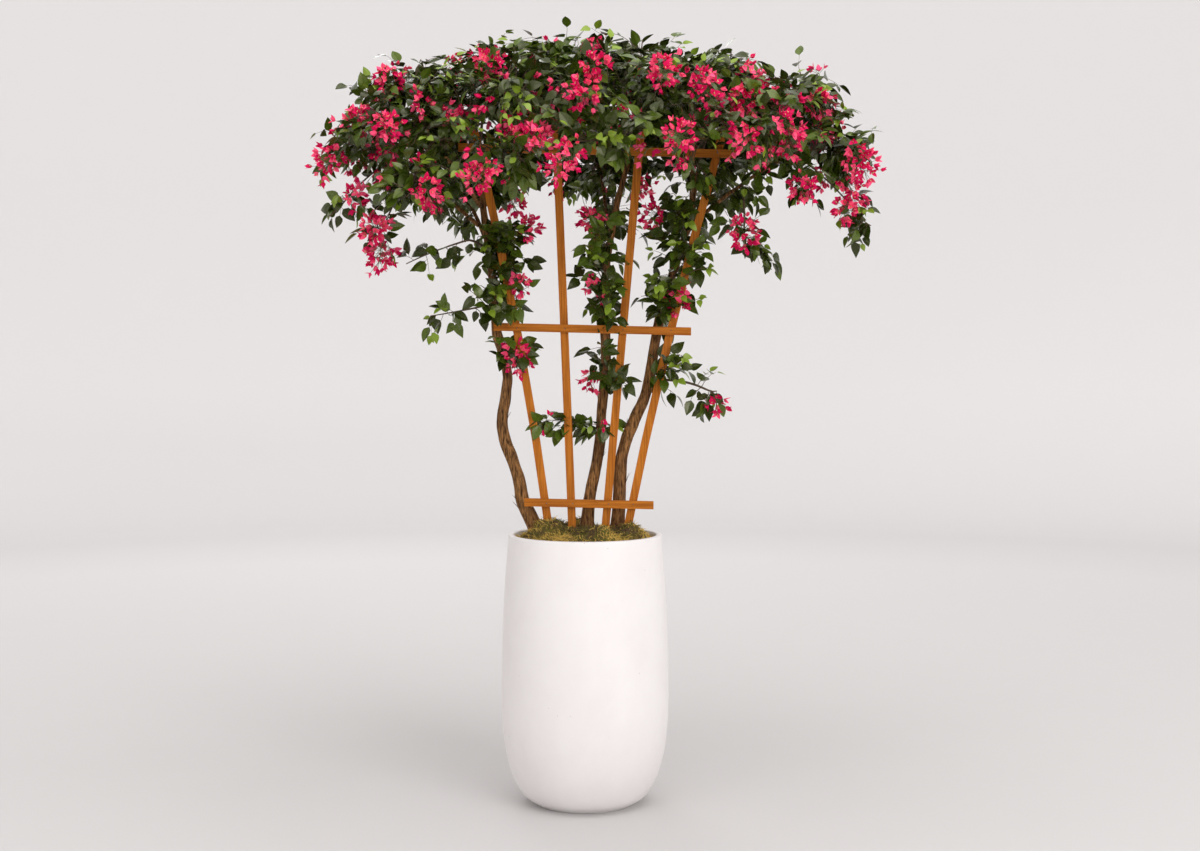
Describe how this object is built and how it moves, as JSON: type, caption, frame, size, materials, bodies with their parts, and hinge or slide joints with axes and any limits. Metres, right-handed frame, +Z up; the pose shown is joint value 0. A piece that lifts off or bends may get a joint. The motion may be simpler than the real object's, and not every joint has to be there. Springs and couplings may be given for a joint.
{
  "type": "artificial bougainvillea on a fan trellis in a tall pot",
  "caption": "Artificial bougainvillea with real-wood stems behind a cedar fan trellis in a tall matte white pot, with a wide weeping crown of dark leaves and pink bracts.",
  "frame": {"origin": "centre of the pot's flat underside, where it stands", "axes": "+Z up through the pot's axis, -Y towards the front, where the trellis stands before the stems, +X to the right"},
  "size_m": [1.5315, 1.055, 2.1263],
  "materials": {
    "pot": "matte",
    "fill": "matte",
    "moss": "matte",
    "cedar": "satin",
    "bark": "matte",
    "leaves": "satin",
    "bracts": "matte"
  },
  "bodies": {
    "root": {"back_lower_1": "leaves", "back_lower_2": "leaves", "back_lower_3": "leaves", "back_upper_1": "leaves", "back_upper_2": "leaves", "back_upper_3": "leaves", "back_upper_4": "leaves", "bough_centre_back": "bark", "bough_left_back": "bark", "bough_left_front": "bark", "bough_left_out": "bark", "bough_right_back": "bark", "bough_right_front": "bark", "bough_right_out": "bark", "centre_clump": "leaves", "centre_sleeve": "leaves", "centre_twig": "leaves", "front_lower_1": "leaves", "front_lower_2": "leaves", "front_lower_3": "leaves", "front_lower_4": "leaves", "front_lower_5": "leaves", "front_upper_1": "leaves", "front_upper_2": "leaves", "front_upper_3": "leaves", "front_upper_4": "leaves", "front_upper_5": "leaves", "left_clump": "leaves", "left_hang": "leaves", "left_shoulder": "leaves", "left_sleeve": "leaves", "left_tip": "leaves", "left_twig_lower": "leaves", "left_twig_upper": "leaves", "moss_bed": "moss", "pot": "pot", "potting_fill": "fill", "rail_lower": "cedar", "rail_middle": "cedar", "rail_upper": "cedar", "ridge_1": "leaves", "ridge_2": "leaves", "ridge_3": "leaves", "ridge_4": "leaves", "ridge_5": "leaves", "ridge_6": "leaves", "right_clump": "leaves", "right_hang": "leaves", "right_shoulder": "leaves", "right_sleeve": "leaves", "right_tip": "leaves", "right_twig_lower": "leaves", "right_twig_upper": "leaves", "stave_1": "cedar", "stave_2": "cedar", "stave_3": "cedar", "stave_4": "cedar", "stem_centre": "bark", "stem_left": "bark", "stem_right": "bark"}
  },
  "joints": []
}
